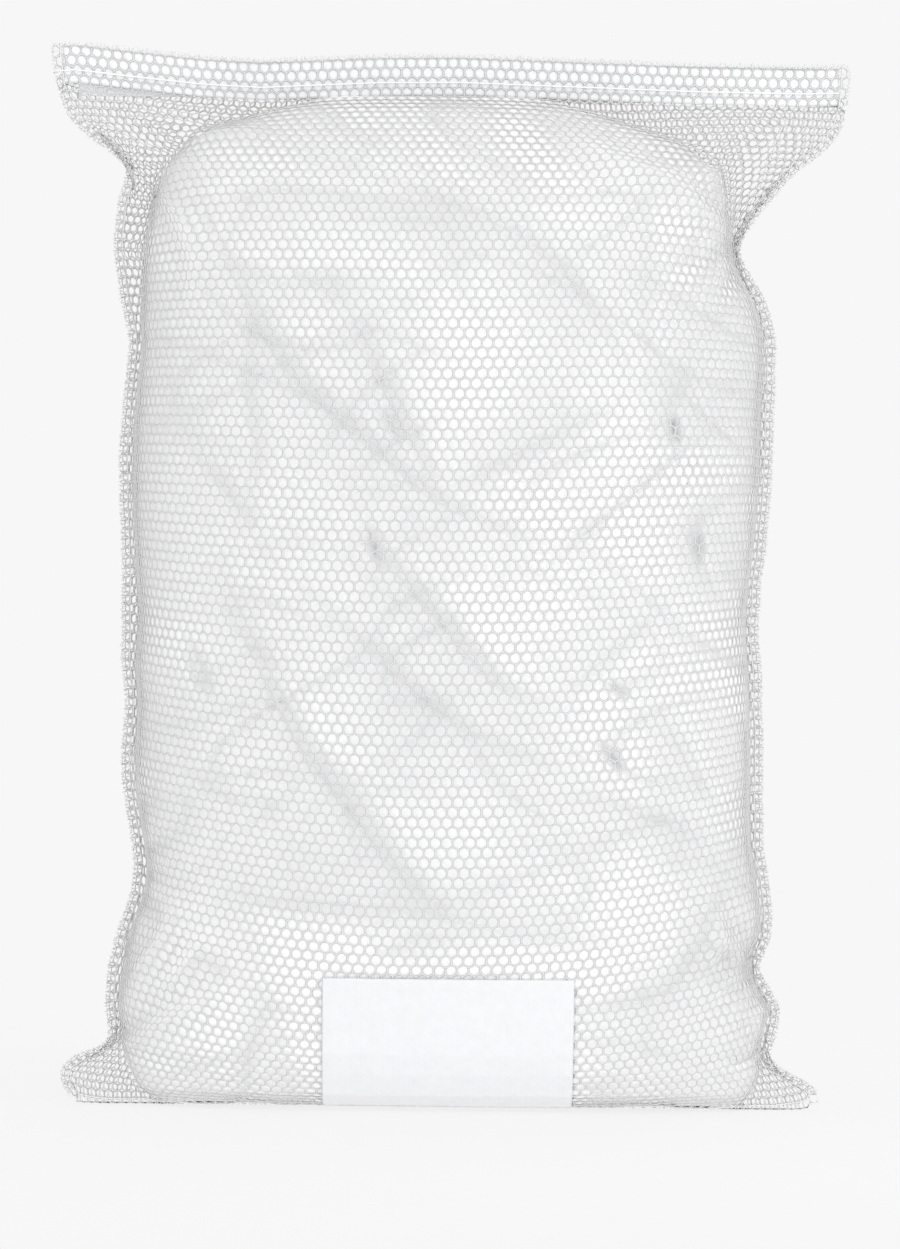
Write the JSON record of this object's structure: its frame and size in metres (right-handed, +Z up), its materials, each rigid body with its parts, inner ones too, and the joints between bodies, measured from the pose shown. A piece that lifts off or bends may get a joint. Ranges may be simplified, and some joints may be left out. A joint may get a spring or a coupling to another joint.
{
  "type": "laundry net bag",
  "caption": "Zip-closed honeycomb net laundry bag, filled and standing upright, with a blank sewn name label at the front of its base.",
  "frame": {"origin": "under the middle of the standing bag, on the surface that it stands on", "axes": "+Z up through the mouth, +X along the zip towards its closed end, -Y out of the front panel, which carries the label"},
  "size_m": [0.399, 0.156, 0.5315],
  "materials": {
    "net": "white knitted polyester honeycomb net",
    "laundry": "white cotton, matte",
    "overlock_thread": "white spun polyester thread",
    "sewing_thread": "white polyester sewing thread",
    "mouth_tape": "bright white woven tape",
    "zip_tape": "white woven zip tape",
    "zip_coil": "white nylon monofilament",
    "zip_metal": "white enamel",
    "label": "optically bright plain weave"
  },
  "bodies": {
    "bag": {"front_net": "net", "back_net": "net", "laundry_load": "laundry", "side_seam_left": "overlock_thread", "side_seam_right": "overlock_thread", "bottom_seam": "overlock_thread", "top_overlock": "overlock_thread", "mouth_tape": "mouth_tape", "mouth_stitching": "sewing_thread", "zip_tape_upper": "zip_tape", "zip_tape_lower": "zip_tape", "zip_coil_upper": "zip_coil", "zip_coil_lower": "zip_coil", "zip_closed_end_stop": "zip_metal", "zip_open_end_stop": "zip_metal", "zip_upper_stitching": "sewing_thread", "zip_lower_stitching": "sewing_thread", "name_label": "label", "label_stitching": "sewing_thread"},
    "slider": {"zip_slider": "zip_metal"},
    "tab": {"pull_tab": "zip_metal"}
  },
  "joints": [
    {"name": "zip_slide", "type": "slide", "parent": "bag", "child": "slider", "axis": [-1, 0, 0], "range_m": [0, 0.33]},
    {"name": "tab_pivot", "type": "hinge", "parent": "slider", "child": "tab", "pos_m": [0.165, 0.00275, 0.5135], "axis": [0, 0, -1], "range_deg": [0, 180]}
  ]
}
